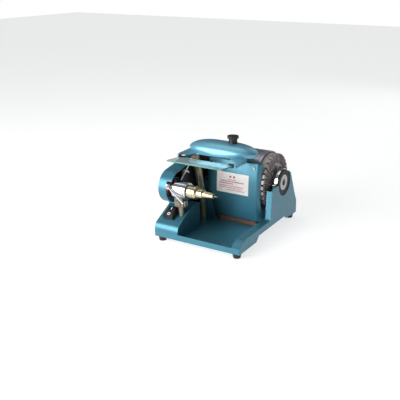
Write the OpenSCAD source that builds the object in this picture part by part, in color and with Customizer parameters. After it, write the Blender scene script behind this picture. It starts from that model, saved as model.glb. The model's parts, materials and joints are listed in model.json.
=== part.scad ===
// Bench carving and polishing machine with a belt-driven horizontal spindle.
// X runs to the operator's right, Y runs away from the operator, Z is up.
// The origin is on the bench, under the middle of the base.

/* [Base] */
// Width of the base
base_w = 240; // [200:1:300]
// Front edge of the base, measured from the middle
base_front = 163; // [158:1:200]
// Rear edge of the base, measured from the middle
base_rear = 160; // [158:1:200]
// Thickness of the cast walls
wall = 3; // [2:0.5:4]
// Height of the rubber feet
foot_h = 13; // [8:1:15]
// Radius of the rubber feet
foot_r = 11; // [9:0.5:13]
// Distance from the feet to the base's edges
foot_inset = 3; // [2:0.5:6]
// Height of the tray floor above the bench
floor_z = 18; // [16:1:22]
// Height of the front lip
lip_z = 28; // [26:1:34]
// Height of the side rims
rim_z = 43; // [40:1:48]
// Width of the side rims
rim_w = 22; // [18:1:26]

/* [Control pod] */
// Width of the pod
pod_w = 68; // [64:1:72]
// Height of the pod's top
pod_z = 80; // [76:1:84]
// Slope of the switch panel in degrees
pod_slope = 27; // [22:1:30]
// Radius of the pod's front edge
pod_nose_r = 20; // [12:1:24]

/* [Motor] */
// Distance of the motor axis behind the middle
motor_y = 79; // [74:1:82]
// Height of the motor axis
motor_z = 122; // [118:1:126]
// Radius of the motor shell
motor_r = 76; // [63:0.5:92]
// Space between the belt guard and the motor
motor_left = 24; // [22:1:30]
// Space between the motor and the base's right edge
motor_right = 26; // [24:1:34]
// Radius of the motor shaft
motor_shaft_r = 7; // [5:0.5:9]
// Outer radius of the resilient hub rings
hub_r = 34; // [28:0.5:38]

/* [Drive] */
// Groove radius of the motor pulley
motor_pulley_r = 30; // [26:1:34]
// Groove radius of the spindle pulley
spindle_pulley_r = 14; // [12:1:15]
// Thickness of the belt
belt_t = 3; // [2:0.5:4]

/* [Spindle] */
// Distance of the spindle axis in front of the middle
spindle_front = 120; // [116:1:124]
// Height of the spindle axis
spindle_z = 130; // [128:1:134]
// Radius of the spindle shaft
spindle_r = 6; // [5:0.5:7]
// Outer radius of the quill
quill_r = 22; // [18:0.5:26.5]
// Length of the quill
quill_l = 38; // [32:1:44]
// Radius of the chuck's body
chuck_r = 16.7; // [14:0.1:18]
// Radius of the arbor tip
arbor_r = 3; // [2:0.25:4]

/* [Guard] */
// Width of the belt guard
guard_w = 36; // [34:1:38]
// Radius of the guard's nose
guard_nose_r = 42; // [40:1:44]
// How far the guard's tail stands out past the motor
guard_margin = 2.5; // [1:0.5:4]
// Thickness of the guard's shell
guard_t = 2.5; // [2:0.5:3]

/* [Splash cover] */
// Radius of the cover's bow
cover_bow_r = 374; // [340:1:420]
// Thickness of the cover
cover_t = 2; // [1.5:0.5:2.5]
// Space between the motor and the cover
cover_gap = 5; // [4:1:8]
// Height of the packing strip under the cover
strip_h = 11; // [8:1:14]

/* [Hood] */
// Space between the motor and the hood's brim
hood_gap = 2; // [1:1:8]
// Half the depth of the dome
dome_r = 38; // [34:1:40]
// Height of the dome above its brim
dome_h = 28; // [26:1:34]
// Depth of the shield glass
glass_d = 56; // [48:1:60]
// Tilt of the shield at rest in degrees
shield_rest = 6; // [0:1:20]
// Thickness of the shield glass
glass_t = 4; // [3:0.5:5]
// Radius of the hood's column
column_r = 10; // [8:0.5:11]
// Radius of the clamp knob
knob_r = 14.5; // [12:0.5:18]
// Height of the clamp knob
knob_h = 18.5; // [16:0.5:24]

/* [Hidden] */
$fn = 64;

gap = 0.3;            // air between faces of bodies that move past each other
run = 0.05;           // radial running clearance of shafts in their bores
left_x = -base_w / 2;
right_x = base_w / 2;
front_y = -base_front;
rear_y = base_rear;
skirt_z = foot_h + 0.5;
pod_right = left_x + pod_w;
pod_back = -60;
spindle_y = -spindle_front;
guard_right = left_x + guard_w;
pocket_x = guard_right - 13;
pocket_r = quill_r + 5;
guard_nose = [spindle_y + 20, spindle_z];
guard_tail = [motor_y, motor_z];
guard_tail_r = motor_r + guard_margin;
pod_nose_y = front_y + pod_nose_r;
pod_nose_z = 33;
ramp_y = pod_nose_y + pod_nose_r * cos(90 + pod_slope);
ramp_z = pod_nose_z + pod_nose_r * sin(90 + pod_slope);
pod_crest_y = ramp_y + (pod_z - ramp_z) / tan(pod_slope);
motor_x0 = guard_right + motor_left;
motor_x1 = right_x - motor_right;
cover_y = motor_y - motor_r - cover_gap;
// The brim clears the motor, and its ears clear the guard's nose
brim_z = max(motor_z + motor_r + hood_gap, spindle_z + guard_nose_r + 28);
cover_top = brim_z - 16;
quill_x0 = guard_right + 2;
quill_x1 = quill_x0 + quill_l;
post_x = quill_x0 + 14.5;
post_r = 8;

// Colours of the finishes
paint = "#3f97ab";
paint_dark = "#27707f";
chrome = "#d8d8d8";
steel = "#a9acb0";
black = "#1c1c1e";
brass = "#c9a25a";

// Extrudes an outline drawn as [Y, Z] points along X
module along_x(x0, x1) { translate([x0, 0, 0]) rotate([90, 0, 90]) linear_extrude(x1 - x0) children(); }
// A round bar along X
module bar_x(x0, x1, r, y = 0, z = 0) { translate([x0, y, z]) rotate([0, 90, 0]) cylinder(h = x1 - x0, r = r); }
// A ring along X
module ring_x(x0, x1, r, bore, y = 0, z = 0) {
  difference() {
    bar_x(x0, x1, r, y, z);
    bar_x(x0 - 1, x1 + 1, bore, y, z);
  }
}
// A cone along X
module cone_x(x0, x1, r0, r1, y = 0, z = 0) {
  translate([x0, y, z]) rotate([0, 90, 0]) cylinder(h = x1 - x0, r1 = r0, r2 = r1);
}
// A box from one corner to the opposite one
module block(a, b) { translate(a) cube(b - a); }
// The outline of a belt round two circles
module belt_outline(c1, r1, c2, r2) {
  d = norm(c2 - c1);
  base = atan2(c2[1] - c1[1], c2[0] - c1[0]);
  spread = acos((r1 - r2) / d);
  up = [cos(base + spread), sin(base + spread)];
  down = [cos(base - spread), sin(base - spread)];
  translate(c1) circle(r = r1);
  translate(c2) circle(r = r2);
  polygon([c1 + r1 * up, c2 + r2 * up, c2 + r2 * down, c1 + r1 * down]);
}
// A machine screw along Z, head up, with a straight slot
module screw(r, length, head_r, head_h) {
  difference() {
    union() {
      translate([0, 0, -length]) cylinder(h = length + head_h / 2, r = r);
      cylinder(h = head_h, r = head_r);
    }
    translate([-head_r, -0.5, head_h * 0.6]) cube([2 * head_r, 1, head_h]);
  }
}

// ---- Base ----
feet = [
  [left_x + foot_inset + foot_r, front_y + foot_inset + foot_r],
  [right_x - foot_inset - foot_r, front_y + foot_inset + foot_r],
  [left_x + foot_inset + foot_r, rear_y - foot_inset - foot_r],
  [right_x - foot_inset - foot_r, rear_y - foot_inset - foot_r]
];
foot_screw_r = 2.5;
function arc(c, r, a0, a1, n) =
  [for (i = [0:n]) c + r * [cos(a0 + (a1 - a0) * i / n), sin(a0 + (a1 - a0) * i / n)]];

// Side view of the base with its ramped front and arched skirt
module base_side(top) {
  polygon([
    [front_y, skirt_z], [front_y, lip_z], [front_y + 11, lip_z + 9], [front_y + 35, top],
    [rear_y, top], [rear_y, skirt_z], [rear_y - 34, skirt_z], [rear_y - 44, skirt_z + 3],
    [rear_y - 62, skirt_z + 3], [rear_y - 76, 26], [front_y + 101, 26], [front_y + 87, skirt_z]
  ]);
}
inlet_x = right_x - 80;
inlet_z = 28.5;
module inlet_opening() {
  block([inlet_x - 13.8, rear_y - 10, inlet_z - 9.8], [inlet_x + 13.8, rear_y + 5, inlet_z + 9.8]);
}
module base_pan() {
  inner_right = right_x - rim_w;
  color(paint) difference() {
    union() {
      difference() {
        along_x(left_x, right_x) base_side(rim_z);
        block([left_x + wall, front_y + wall, 0], [right_x - wall, rear_y - wall, floor_z - wall]);
        block([left_x + rim_w, front_y + wall, 0], [inner_right, rear_y - wall, rim_z + 1]);
        block([left_x + wall, front_y + 40, 0], [left_x + rim_w - wall, rear_y - wall, rim_z - wall]);
        block([inner_right + wall, front_y + 40, 0], [right_x - wall, rear_y - wall, rim_z - wall]);
        block([left_x - 1, front_y - 1, lip_z], [inner_right, front_y + 40, rim_z + 1]);
        block([left_x - 1, front_y + wall, floor_z], [pod_right + gap, pod_back + gap, rim_z + 1]);
      }
      block([left_x + 1, front_y + 1, floor_z - wall], [inner_right + wall, rear_y - 1, floor_z]);
      block([inner_right, front_y + 1, floor_z - wall], [right_x - 1, front_y + 38, floor_z]);
      block([inner_right, rear_y - 38, floor_z - wall], [right_x - 1, rear_y - 1, floor_z]);
      for (f = feet) translate([f[0], f[1], foot_h]) cylinder(h = floor_z - foot_h - 1, r = foot_r - 1);
    }
    for (f = feet) translate([f[0], f[1], 0]) cylinder(h = floor_z + 1, r = foot_screw_r + gap);
    inlet_opening();
  }
}
module foot(i) {
  color(black) translate([feet[i][0], feet[i][1], 0]) difference() {
    cylinder(h = foot_h, r1 = foot_r - 2, r2 = foot_r);
    translate([0, 0, -1]) cylinder(h = foot_h + 2, r = foot_screw_r + gap);
    translate([0, 0, -1]) cylinder(h = 5, r = 5.5);
  }
}
module foot_screws() {
  color(steel) for (f = feet)
    translate([f[0], f[1], 4]) mirror([0, 0, 1]) screw(foot_screw_r, floor_z - 3.5, 5, 2.5);
}

// ---- Control pod ----
module pod_outline(inset) {
  nose = arc([pod_nose_y, pod_nose_z], pod_nose_r - inset, 180, 90 + pod_slope, 10);
  polygon(concat(
    [[front_y + inset, floor_z - 1]], nose,
    [[pod_crest_y + inset * tan(pod_slope / 2), pod_z - inset], [pod_back - inset, pod_z - inset],
     [pod_back - inset, floor_z - 1]]
  ));
}
switch_w = 29;
switch_l = 37;
switch_x = left_x + 28;
switch_y = ramp_y + 25.1;
switch_z = ramp_z + (switch_y - ramp_y) * tan(pod_slope);
module on_ramp() { translate([switch_x, switch_y, switch_z]) rotate([pod_slope, 0, 0]) children(); }
module control_pod() {
  color(paint) difference() {
    along_x(left_x, pod_right) pod_outline(0);
    along_x(left_x + wall, pod_right - wall) pod_outline(wall);
    block([left_x - 1, front_y - 1, floor_z - 5], [pod_right + 1, pod_back + 1, floor_z]);
    on_ramp() block([-switch_w / 2 + 2, -switch_l / 2 + 2, -20], [switch_w / 2 - 2, switch_l / 2 - 2, 5]);
    translate([post_x, spindle_y, 40]) cylinder(h = 60, r = post_r + gap);
    // Hollow front lip that the base's own lip fills
    block([left_x - 1, front_y - 1, floor_z - 1], [pod_right + 1, front_y + wall, lip_z]);
  }
}
bezel_h = 9;
rocker_pivot = 7;      // height of the rocker's pivot above the panel
rocker_tilt = 9;       // how far the rocker leans each way
module switch_body() {
  color(black) on_ramp() difference() {
    union() {
      block([-switch_w / 2, -switch_l / 2, 0], [switch_w / 2, switch_l / 2, bezel_h]);
      block([-switch_w / 2 + 2.2, -switch_l / 2 + 2.2, -18], [switch_w / 2 - 2.2, switch_l / 2 - 2.2, 0]);
      for (x = [-6, 6]) block([x - 3, -1, -24], [x + 3, 1, -18]);
    }
    block(
      [-switch_w / 2 + 2.5, -switch_l / 2 + 2.5, -9],
      [switch_w / 2 - 2.5, switch_l / 2 - 2.5, bezel_h + 1]
    );
    translate([-switch_w, 0, rocker_pivot]) rotate([0, 90, 0]) cylinder(h = 2 * switch_w, r = 1.5 + run);
  }
}
module switch_rocker() {
  half = switch_l / 2 - 3.5;
  color(black) on_ramp() translate([0, 0, rocker_pivot]) rotate([rocker_tilt, 0, 0]) union() {
    rotate([90, 0, 90]) translate([0, 0, -switch_w / 2 + 3.2]) linear_extrude(switch_w - 6.4)
      polygon([
        [-half, 3.6], [-half, -4], [-6, -6.5], [6, -6.5], [half, -4], [half, 3.6], [8, 5], [0, 5.4], [-8, 5]
      ]);
    translate([-switch_w / 2 + 1, 0, 0]) rotate([0, 90, 0]) cylinder(h = switch_w - 2, r = 1.5);
  }
}
module start_capacitor() {
  color(steel) translate([left_x + 22, pod_back - 48, 17 + floor_z]) rotate([-90, 0, 0]) union() {
    cylinder(h = 38, r = 16);
    translate([0, 0, 38]) cylinder(h = 2, r = 14);
    for (x = [-6, 6]) translate([x - 0.5, -3, 39]) cube([1, 6, 5]);
  }
}
module power_inlet() {
  translate([inlet_x, rear_y, inlet_z]) {
    color(black) difference() {
      union() {
        block([-25, 0, -13], [25, 3, 13]);
        block([-13.5, -18, -9.5], [13.5, 0, 9.5]);
      }
      block([-11.5, -12, -7.5], [11.5, 4, 7.5]);
      for (x = [-20, 20]) translate([x, -5, 0]) rotate([-90, 0, 0]) cylinder(h = 12, r = 1.7);
    }
    color(steel) for (pin = [[-7, -2], [0, 2], [7, -2]])
      block([pin[0] - 1, -12.5, pin[1] - 2], [pin[0] + 1, -2, pin[1] + 2]);
  }
}

// ---- Stands ----
seat_r = hub_r + gap;
function hub_edge(r, a) = [motor_y + r * cos(a), motor_z + r * sin(a)];
module stand_side() {
  front = cover_y + 4;
  polygon([
    [front, rim_z], [front + 6, motor_z - 4], [front + 12, motor_z + 2],
    [motor_y - seat_r - 4, motor_z + 1], [motor_y, motor_z + 1],
    hub_edge(seat_r + 1.5, 36), hub_edge(seat_r + 7.7, 25.3), [motor_y + 49, 115], [rear_y - 13, 71],
    [rear_y - 1, rim_z + 6], [rear_y - 1, rim_z]
  ]);
}
// The thick pad round the seat, before the seat is bored
module seat_pad() {
  intersection() {
    translate([motor_y, motor_z]) circle(r = seat_r + 4);
    polygon([
      [20, 60], [20, motor_z + 1], [motor_y, motor_z + 1], [motor_y + 40, motor_z + 30],
      [motor_y + 60, 60]
    ]);
  }
}
module seat_bore(x0, x1) { bar_x(x0 - 1, x1 + 1, seat_r, motor_y, motor_z); }
// The flanges of a stand, as they look from the side
module stand_flanges(foot) {
  top = [cover_y + 10, motor_z - 5];
  polygon([top, foot, foot + [3, 0], top + [3, 0]]);
  polygon([
    [rear_y - 5, rim_z], [rear_y - 2, rim_z], [rear_y - 2, rim_z + 6], [rear_y - 13, 70],
    [rear_y - 16, 69], [rear_y - 5, rim_z + 5]
  ]);
}
stand_front = cover_y + 5;
stand_right_x = right_x - 16;
stand_left_x = guard_right + 6;
module stand_right() {
  color(paint) difference() {
    union() {
      along_x(stand_right_x, right_x) seat_pad();
      along_x(stand_right_x, right_x - 1) stand_flanges([stand_front, rim_z]);
      along_x(stand_right_x, right_x - 1) translate([stand_front, rim_z]) square([rear_y - 2 - stand_front, 3]);
      along_x(right_x - wall, right_x) stand_side();
    }
    seat_bore(stand_right_x, right_x);
  }
}
// The left stand carries a flared foot that stands on the tray floor in front of the cover
module stand_left() {
  foot_y = cover_y - 5.6;
  x1 = stand_left_x + 14;
  color(paint) difference() {
    union() {
      along_x(stand_left_x, x1) seat_pad();
      along_x(stand_left_x + 1, x1) stand_flanges([stand_front, rim_z]);
      along_x(stand_left_x, stand_left_x + wall) stand_side();
      along_x(stand_left_x, stand_left_x + wall) polygon([
        [foot_y, floor_z], [foot_y, 92], [stand_front + 7, motor_z - 8], [stand_front + 7, rim_z + 9],
        [rear_y - 5, rim_z + 2], [rear_y - 5, floor_z]
      ]);
      translate([stand_left_x, foot_y + 2.6, 0]) rotate([90, 0, 0]) linear_extrude(2.6)
        polygon([[0, floor_z], [46, floor_z], [32, 56], [25.5, 92], [0, 92]]);
    }
    seat_bore(stand_left_x, x1);
    // Opening for the motor's lead
    bar_x(stand_left_x - 5, stand_left_x + 10, 12, motor_y - 1, 64);
  }
}

// ---- Belt guard ----
module guard_outline(inset) {
  belt_outline(guard_nose, guard_nose_r - inset, guard_tail, guard_tail_r - inset);
  polygon([
    [guard_nose[0] + inset, spindle_z], [guard_nose[0] + inset, pod_z + gap],
    [pod_back + gap + inset, pod_z + gap],
    [pod_back + gap + inset, rim_z], [rear_y - 1 - inset, rim_z], [rear_y - 1 - inset, motor_z],
    [motor_y, motor_z + 38]
  ]);
}
module pocket_outline() {
  translate([spindle_y, spindle_z]) circle(r = pocket_r);
  polygon([[-200, spindle_z], [spindle_y + pocket_r, spindle_z], [spindle_y + pocket_r, 60], [-200, 60]]);
}
bosses = [[-78, 165], [-78, 93], [20, 61], [20, motor_z + guard_tail_r - 16.5], [rear_y - 20, 61]];
module pod_clearance() { block([left_x - 1, front_y, 60], [guard_right + 1, pod_back + gap, pod_z + gap]); }
module belt_guard() {
  color(paint) difference() {
    union() {
      difference() {
        along_x(left_x, guard_right) guard_outline(0);
        along_x(left_x + guard_t, guard_right + 1) difference() {
          guard_outline(guard_t);
          intersection() {
            guard_outline(guard_t);
            polygon([[-200, 0], [guard_nose[0] - 1, 0], [guard_nose[0] - 1, 70], [-200, 70]]);
          }
        }
      }
      along_x(pocket_x - guard_t, guard_right - 2) intersection() {
        guard_outline(1);
        difference() {
          translate([spindle_y, spindle_z]) circle(r = pocket_r + 2);
          polygon([[-200, 100], [-80, 100], [-80, 60], [-200, 60]]);
        }
      }
      along_x(pocket_x - guard_t, pocket_x) intersection() {
        guard_outline(1);
        union() {
          translate([spindle_y, spindle_z]) circle(r = pocket_r + 1);
          polygon([[-160, 130], [-92, 130], [-92, 82], [-160, 82]]);
        }
      }
      for (b = bosses) bar_x(left_x + 1, guard_right - 4.5, 5, b[0], b[1]);
    }
    along_x(pocket_x, guard_right + 1) pocket_outline();
    bar_x(left_x + 10, guard_right, 9, spindle_y, spindle_z);
    for (b = bosses) bar_x(guard_right - 14, guard_right, 1.6, b[0], b[1]);
    pod_clearance();
  }
}
module guard_plate() {
  color("#3a3d40") difference() {
    union() {
      along_x(guard_right - 4.5, guard_right - 2.5) difference() {
        intersection() {
          guard_outline(guard_t + 0.5);
          polygon([[-86, 0], [-86, 300], [300, 300], [300, 0]]);
        }
      }
      bar_x(guard_right - 2.5, guard_right - 0.5, 40, -46, 132);
    }
    pod_clearance();
    bar_x(guard_right - 6, guard_right + 2, 16, motor_y, motor_z);
    for (b = bosses) bar_x(guard_right - 6, guard_right, 2, b[0], b[1]);
    for (b = bosses) bar_x(guard_right - 2.5, guard_right, 6, b[0], b[1]);
  }
}
module guard_screws() {
  color(steel) for (b = bosses)
    translate([guard_right - 2.5, b[0], b[1]]) rotate([0, 90, 0]) screw(1.5, 10, 3.5, 1.8);
}

// ---- Drive ----
belt_x0 = left_x + 8;
belt_x1 = left_x + 16;
module pulley(x0, x1, groove_r, bore, y, z) {
  mid = (x0 + x1) / 2;
  difference() {
    union() {
      bar_x(x0, x1, groove_r, y, z);
      cone_x(x0, mid - 4, groove_r + 4, groove_r, y, z);
      cone_x(mid + 4, x1, groove_r, groove_r + 4, y, z);
    }
    bar_x(x0 - 1, x1 + 1, bore, y, z);
  }
}
module motor_pulley() {
  color(steel) pulley(belt_x0 - 3, belt_x1 + 3, motor_pulley_r, motor_shaft_r, motor_y, motor_z);
}
module spindle_pulley() {
  color(steel) pulley(belt_x0 - 3, belt_x1 + 3, spindle_pulley_r, spindle_r, spindle_y, spindle_z);
}
function belt_points(c1, r1, c2, r2) =
  let (
    base = atan2(c2[1] - c1[1], c2[0] - c1[0]),
    spread = acos((r1 - r2) / norm(c2 - c1))
  ) concat(arc(c1, r1, base + spread, base + 360 - spread, 24), arc(c2, r2, base - spread, base + spread, 32));
module drive_belt() {
  a = [spindle_y, spindle_z];
  b = [motor_y, motor_z];
  color(black) along_x(belt_x0 + 0.6, belt_x1 - 0.6) difference() {
    polygon(belt_points(a, spindle_pulley_r + gap + belt_t, b, motor_pulley_r + gap + belt_t));
    polygon(belt_points(a, spindle_pulley_r + gap, b, motor_pulley_r + gap));
  }
}

// ---- Motor ----
bell_w = 20;
bell_r = motor_r - 4;
shell_x0 = motor_x0 + bell_w;
shell_x1 = motor_x1 - bell_w;
hub_x1 = right_x - 2;
hub_x0 = stand_left_x + 1;
boss_r = 20;
bearing_r = 16;
stator_x0 = shell_x0 + 14;
stator_x1 = shell_x1 - 16;
stator_r = motor_r - 26;
fan_r = motor_r - 14;
module motor_shell() { color("#b9b2c0") ring_x(shell_x0, shell_x1, motor_r, motor_r - 2.5, motor_y, motor_z); }
module end_bell(rim_x, face_x, hub_x, slots) {
  side = face_x > rim_x ? 1 : -1;
  lo = min(rim_x, face_x);
  hi = max(rim_x, face_x);
  in_x = face_x - side * 4;
  difference() {
    union() {
      bar_x(lo, hi, bell_r, motor_y, motor_z);
      bar_x(min(face_x, hub_x), max(face_x, hub_x), boss_r, motor_y, motor_z);
    }
    bar_x(min(rim_x - side, in_x), max(rim_x - side, in_x), bell_r - 4, motor_y, motor_z);
    bar_x(min(rim_x, hub_x) - 5, max(rim_x, hub_x) + 5, motor_shaft_r + 2, motor_y, motor_z);
    bar_x(min(in_x, hub_x - side * 4) - 1, max(in_x, hub_x - side * 4), bearing_r, motor_y, motor_z);
    for (i = [0:slots - 1]) translate([0, motor_y, motor_z]) rotate([i * 360 / slots, 0, 0])
      block([face_x - 7, -2.6, motor_r - 30], [face_x + 7, 2.6, motor_r + 5]);
  }
}
module end_bell_right() { color("#8f8d95") end_bell(shell_x1, motor_x1, hub_x1, 30); }
module end_bell_left() { color("#b59a72") end_bell(shell_x0, motor_x0, hub_x0, 18); }
module stator() {
  color("#8a5a3a") difference() {
    bar_x(stator_x0, stator_x1, motor_r - 2.5, motor_y, motor_z);
    bar_x(stator_x0 - 1, stator_x1 + 1, stator_r, motor_y, motor_z);
  }
}
module rotor() {
  color(steel) ring_x(stator_x0 + 2, stator_x1 - 2, stator_r - 1, motor_shaft_r, motor_y, motor_z);
}
module motor_shaft() { color(steel) bar_x(belt_x0 - 3.5, hub_x1 - 5, motor_shaft_r, motor_y, motor_z); }
module motor_bearings() {
  color(chrome) {
    ring_x(hub_x0 + 4, hub_x0 + 14, bearing_r, motor_shaft_r + run, motor_y, motor_z);
    ring_x(hub_x1 - 14, hub_x1 - 4, bearing_r, motor_shaft_r + run, motor_y, motor_z);
  }
}
module cooling_fan() {
  color("#d9cfae") translate([shell_x1 - 10, motor_y, motor_z]) rotate([0, 90, 0]) difference() {
    union() {
      cylinder(h = 2, r = fan_r);
      cylinder(h = 12, r = 14);
      for (i = [0:8]) rotate([0, 0, i * 40]) translate([12, -1, 0]) cube([fan_r - 12, 2, 14]);
    }
    translate([0, 0, -1]) cylinder(h = 20, r = motor_shaft_r);
  }
}
module hub_rings() {
  color(black) {
    ring_x(hub_x0, hub_x0 + 12, hub_r, boss_r, motor_y, motor_z);
    ring_x(stand_right_x + 1, right_x - 1.5, hub_r, boss_r, motor_y, motor_z);
  }
}
strap_t = 1.6;
module strap(x0) {
  along_x(x0, x0 + 8) {
    difference() {
      translate([motor_y, motor_z]) circle(r = seat_r + strap_t);
      translate([motor_y, motor_z]) circle(r = seat_r);
      polygon([[0, motor_z + 3], [motor_y, motor_z], [motor_y + 60, motor_z + 46], [motor_y + 60, 0], [0, 0]]);
    }
    translate([motor_y - seat_r - 13, motor_z + 3]) square([13, strap_t]);
  }
}
tab_y = motor_y - seat_r - 9;
strap_xs = [hub_x0 + 1.5, right_x - 13];
module clamp_straps() {
  color(chrome) for (x = strap_xs) difference() {
    strap(x);
    translate([x + 4, tab_y, motor_z]) cylinder(h = 10, r = 1.8);
  }
}
module strap_screws() {
  color(brass) for (x = strap_xs) translate([x + 4, tab_y, motor_z + 3 + strap_t]) screw(1.6, 8, 3, 2);
}

// ---- Splash cover ----
bow_y = cover_y + cover_bow_r;
bow_z = 107;
cover_left = guard_right + 22;
cover_right = right_x - 40;
cover_lip_y = motor_y - sqrt(pow(motor_r + 1.6, 2) - pow(cover_top - 2 - motor_z, 2));
cover_screw_z = cover_top - 12;
cover_screw_xs = [cover_left + 16, cover_right - 10];
cover_flange = 8;
a_top = asin((cover_top - bow_z) / cover_bow_r);
a_bottom = asin((floor_z + strip_h + 0.5 - bow_z) / cover_bow_r);
// Turns an outline of [radius, X] about the bow's centre line, from one angle to another
module bowed(a0, a1) {
  translate([0, bow_y, bow_z]) rotate([0, -90, 0]) rotate([0, 0, a0 - 90])
    rotate_extrude(angle = a1 - a0, $fn = 180) children();
}
module cover_section() {
  r = cover_bow_r;
  t = cover_t;
  f = cover_flange;
  polygon([
    [r - f, -cover_right - f], [r, -cover_right], [r, -cover_left], [r - f, -cover_left],
    [r - f, -cover_left - t], [r - t, -cover_left - t], [r - t, -cover_right + 0.4 * t],
    [r - f - 0.4 * t, -cover_right - f + t]
  ]);
}
module cover_holes() {
  for (x = cover_screw_xs)
    translate([x, cover_y - 18, cover_screw_z]) rotate([-90, 0, 0]) cylinder(h = 60, r = 1.8);
}
module splash_cover() {
  color(paint) difference() {
    union() {
      bowed(a_bottom, a_top) cover_section();
      block(
        [cover_left, bow_y - cover_bow_r * cos(a_top) + 0.5, cover_top - 2],
        [cover_right, cover_lip_y, cover_top]
      );
    }
    cover_holes();
  }
}
module cover_screws() {
  y = bow_y - cover_bow_r * cos(asin((cover_screw_z - bow_z) / cover_bow_r));
  color(steel) for (x = cover_screw_xs)
    translate([x, y - 0.5, cover_screw_z]) rotate([90, 0, 0]) screw(1.6, 8, 3.4, 1.8);
}
label_top = cover_top - 32;
label_w = 92;
label_h = 54;
module label_plate() {
  a = asin((label_top - bow_z) / cover_bow_r);
  b = asin((label_top - label_h - bow_z) / cover_bow_r);
  color("white") bowed(b, a) translate([cover_bow_r + 0.05, 23 - cover_right]) square([0.5, label_w]);
}
module packing_strip() {
  color("#6b4a36")
    block([cover_left + 18, cover_y + 6, floor_z], [cover_right - 4, cover_y + 14, floor_z + strip_h]);
}

// ---- Spindle head ----
neck_x0 = pocket_x + 4;
shaft_x1 = quill_x1 + 14;
chuck_x1 = shaft_x1 + 13;
nut_x1 = chuck_x1 + 16;
collet_x1 = nut_x1 + 27;
arbor_x1 = collet_x1 + 10.5;
neck_r = 12;
bearing_or = 14;
module quill_housing() {
  color(chrome) difference() {
    union() {
      bar_x(quill_x0, quill_x1, quill_r, spindle_y, spindle_z);
      bar_x(neck_x0, quill_x0, neck_r, spindle_y, spindle_z);
    }
    bar_x(neck_x0 - 1, quill_x1 + 1, spindle_r + 2, spindle_y, spindle_z);
    bar_x(quill_x0 + 4, quill_x1 + 1, bearing_or, spindle_y, spindle_z);
  }
}
module spindle_bearings() {
  color(steel) {
    ring_x(quill_x0 + 4, quill_x0 + 12, bearing_or, spindle_r + run, spindle_y, spindle_z);
    ring_x(quill_x1 - 9, quill_x1 - 1, bearing_or, spindle_r + run, spindle_y, spindle_z);
  }
}
module bearing_spacer() {
  color(steel) ring_x(quill_x0 + 12, quill_x1 - 9, bearing_or, bearing_or - 2, spindle_y, spindle_z);
}
module spindle_shaft() { color(steel) bar_x(belt_x0 - 3.5, shaft_x1, spindle_r, spindle_y, spindle_z); }
module seal_collar() {
  color(black) ring_x(pocket_x, pocket_x + 4, quill_r - 0.5, spindle_r + 1, spindle_y, spindle_z);
}
module release_paddle() {
  x0 = pocket_x + 4 + gap;
  color("#a3172c") translate([x0, spindle_y, spindle_z]) rotate([90, 0, 90]) difference() {
    linear_extrude(3.4) union() {
      circle(r = neck_r + 3);
      intersection() {
        circle(r = quill_r + 0.5);
        translate([-40, 1]) square([80, 40]);
      }
      rotate(38) translate([neck_r, -5]) square([pocket_r - gap - 1 - neck_r, 10]);
    }
    translate([0, 0, -1]) cylinder(h = 6, r = neck_r + run);
  }
}
lever_y = spindle_y - quill_r - 4;
lever_x = guard_right - 5;
lever_z = spindle_z + 13;
lever_angle = 39.8;
arm_x0 = neck_x0 + 4.5;
module lever_bracket() {
  color(steel) {
    ring_x(arm_x0, quill_x0, neck_r + 3, neck_r, spindle_y, spindle_z);
    difference() {
      union() {
        translate([arm_x0, spindle_y, spindle_z]) rotate([-27, 0, 0])
          block([0, -quill_r - 2, -3.5], [quill_x0 - arm_x0, -neck_r - 1, 3.5]);
        translate([lever_x, lever_y + 2.6, lever_z]) rotate([-90, 0, 0]) cylinder(h = 2, r = 5);
      }
      translate([lever_x, lever_y + 10, lever_z]) rotate([90, 0, 0]) cylinder(h = 20, r = 2.5);
    }
  }
}
module release_lever() {
  color(chrome) translate([lever_x, lever_y, lever_z]) rotate([0, lever_angle, 0]) difference() {
    union() {
      translate([0, 2.2, 0]) rotate([90, 0, 0]) cylinder(h = 4.4, r = 5.7);
      rotate([0, 90, 0]) cylinder(h = 58, r = 2.1);
    }
    rotate([90, 0, 0]) cylinder(h = 20, r = 2.5 + run, center = true);
  }
}
module lever_screw() {
  color(steel) translate([lever_x, lever_y, lever_z]) rotate([90, 0, 0]) difference() {
    union() {
      translate([0, 0, -5.6]) cylinder(h = 9, r = 2.5);
      translate([0, 0, 2.4]) cylinder(h = 2, r = 4.2);
    }
    translate([0, 0, 2.8]) cylinder(h = 3, r = 1.6, $fn = 6);
  }
}
module chuck_body() {
  color("#cfc6b0") difference() {
    union() {
      bar_x(quill_x1 + 0.6, chuck_x1 - 3, chuck_r, spindle_y, spindle_z);
      cone_x(chuck_x1 - 3, chuck_x1, chuck_r, chuck_r - 2.7, spindle_y, spindle_z);
    }
    bar_x(quill_x1, shaft_x1 + 0.1, spindle_r, spindle_y, spindle_z);
    ring_x(shaft_x1 - 1, shaft_x1 + 0.5, chuck_r + 1, chuck_r - 0.7, spindle_y, spindle_z);
    bar_x(shaft_x1 - 1, chuck_x1 + 1, arbor_r, spindle_y, spindle_z);
  }
}
module collet_nut() {
  color("#d2c08e") ring_x(chuck_x1, nut_x1, 12.3, arbor_r, spindle_y, spindle_z);
}
module collet() {
  color("#d8d0b8") difference() {
    cone_x(nut_x1, collet_x1, 9, 6.6, spindle_y, spindle_z);
    bar_x(nut_x1 - 1, collet_x1 + 1, arbor_r, spindle_y, spindle_z);
    for (a = [0, 60, 120])
      translate([nut_x1, spindle_y, spindle_z]) rotate([a, 0, 0]) block([9, -0.5, -12], [30, 0.5, 12]);
  }
}
arbor_nose_r = arbor_r - 0.5;
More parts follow.
